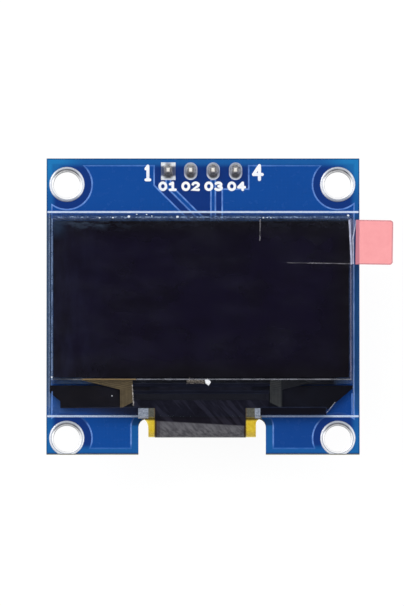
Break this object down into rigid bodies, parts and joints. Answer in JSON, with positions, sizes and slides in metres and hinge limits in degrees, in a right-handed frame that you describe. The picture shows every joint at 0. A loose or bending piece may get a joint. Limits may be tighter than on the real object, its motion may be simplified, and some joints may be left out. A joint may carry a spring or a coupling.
{
  "type": "small oled module",
  "caption": "Small monochrome display module: glass display with its flexible tail folded through a notch in a blue circuit board with plated mounting holes and a pin header.",
  "frame": {"origin": "centre of the four mounting holes, on the board's back face", "axes": "+Z out of the screen, +X to the right and +Y up as the screen is read (header at the top)"},
  "size_m": [0.0392, 0.0334, 0.0121],
  "materials": {
    "board_mask": "glossy blue solder mask on glass-fibre laminate",
    "masked_copper": "glossy blue solder mask over copper",
    "white_ink": "matt white print",
    "solder": "bright tin solder",
    "plating": "bright tinned copper",
    "gold_plating": "thin gold plating",
    "header_plastic": "moulded black plastic",
    "foam_tape": "black foam tape",
    "clear_glass": "clear polished glass",
    "desiccant": "matt off-white sheet",
    "seal_glue": "cured clear glue",
    "emitting_film": "dark unlit layers",
    "black_sheet": "black sheet",
    "metal_tracks": "fine metal tracks under glass",
    "silicon": "dark polished silicon",
    "polarizer_film": "near-black glossy film",
    "clear_film": "thin clear film",
    "pink_film": "translucent pink film",
    "polyimide": "amber yellow polyimide film",
    "flex_cover": "black cover layer",
    "bond_glue": "dark conductive glue",
    "moulded_black": "black moulding compound",
    "capacitor_ceramic": "tan ceramic",
    "resistor_glaze": "black glaze"
  },
  "bodies": {
    "root": {"circuit_board": "board_mask", "front_copper": "masked_copper", "back_copper": "masked_copper", "front_legend": "white_ink", "back_lands": "solder", "header_body": "header_plastic", "mounting_tape": "foam_tape", "cap_glass": "clear_glass", "desiccant_sheet": "desiccant", "seal_frame": "seal_glue", "emitting_layer": "emitting_film", "front_glass": "clear_glass", "ledge_shade": "black_sheet", "left_fanout": "metal_tracks", "right_fanout": "metal_tracks", "driver_chip": "silicon", "polarizer": "polarizer_film", "protective_film": "clear_film", "pull_tab": "clear_film", "tab_grip": "pink_film", "display_flex": "polyimide", "flex_cover": "flex_cover", "flex_bond": "bond_glue", "flex_ear_pads": "solder", "flex_solder": "solder", "regulator_body": "moulded_black", "regulator_leads": "solder", "chip_end_caps": "solder", "mounting_ring_1": "plating", "header_pin_1": "gold_plating", "header_pad_1": "plating", "header_solder_1": "solder", "mounting_ring_2": "plating", "header_pin_2": "gold_plating", "header_pad_2": "plating", "header_solder_2": "solder", "mounting_ring_3": "plating", "header_pin_3": "gold_plating", "header_pad_3": "plating", "header_solder_3": "solder", "mounting_ring_4": "plating", "header_pin_4": "gold_plating", "header_pad_4": "plating", "header_solder_4": "solder", "capacitor_1": "capacitor_ceramic", "capacitor_2": "capacitor_ceramic", "capacitor_3": "capacitor_ceramic", "capacitor_4": "capacitor_ceramic", "capacitor_5": "capacitor_ceramic", "capacitor_6": "capacitor_ceramic", "resistor_1": "resistor_glaze", "resistor_2": "resistor_glaze", "resistor_3": "resistor_glaze", "resistor_4": "resistor_glaze", "resistor_5": "resistor_glaze"}
  },
  "joints": []
}
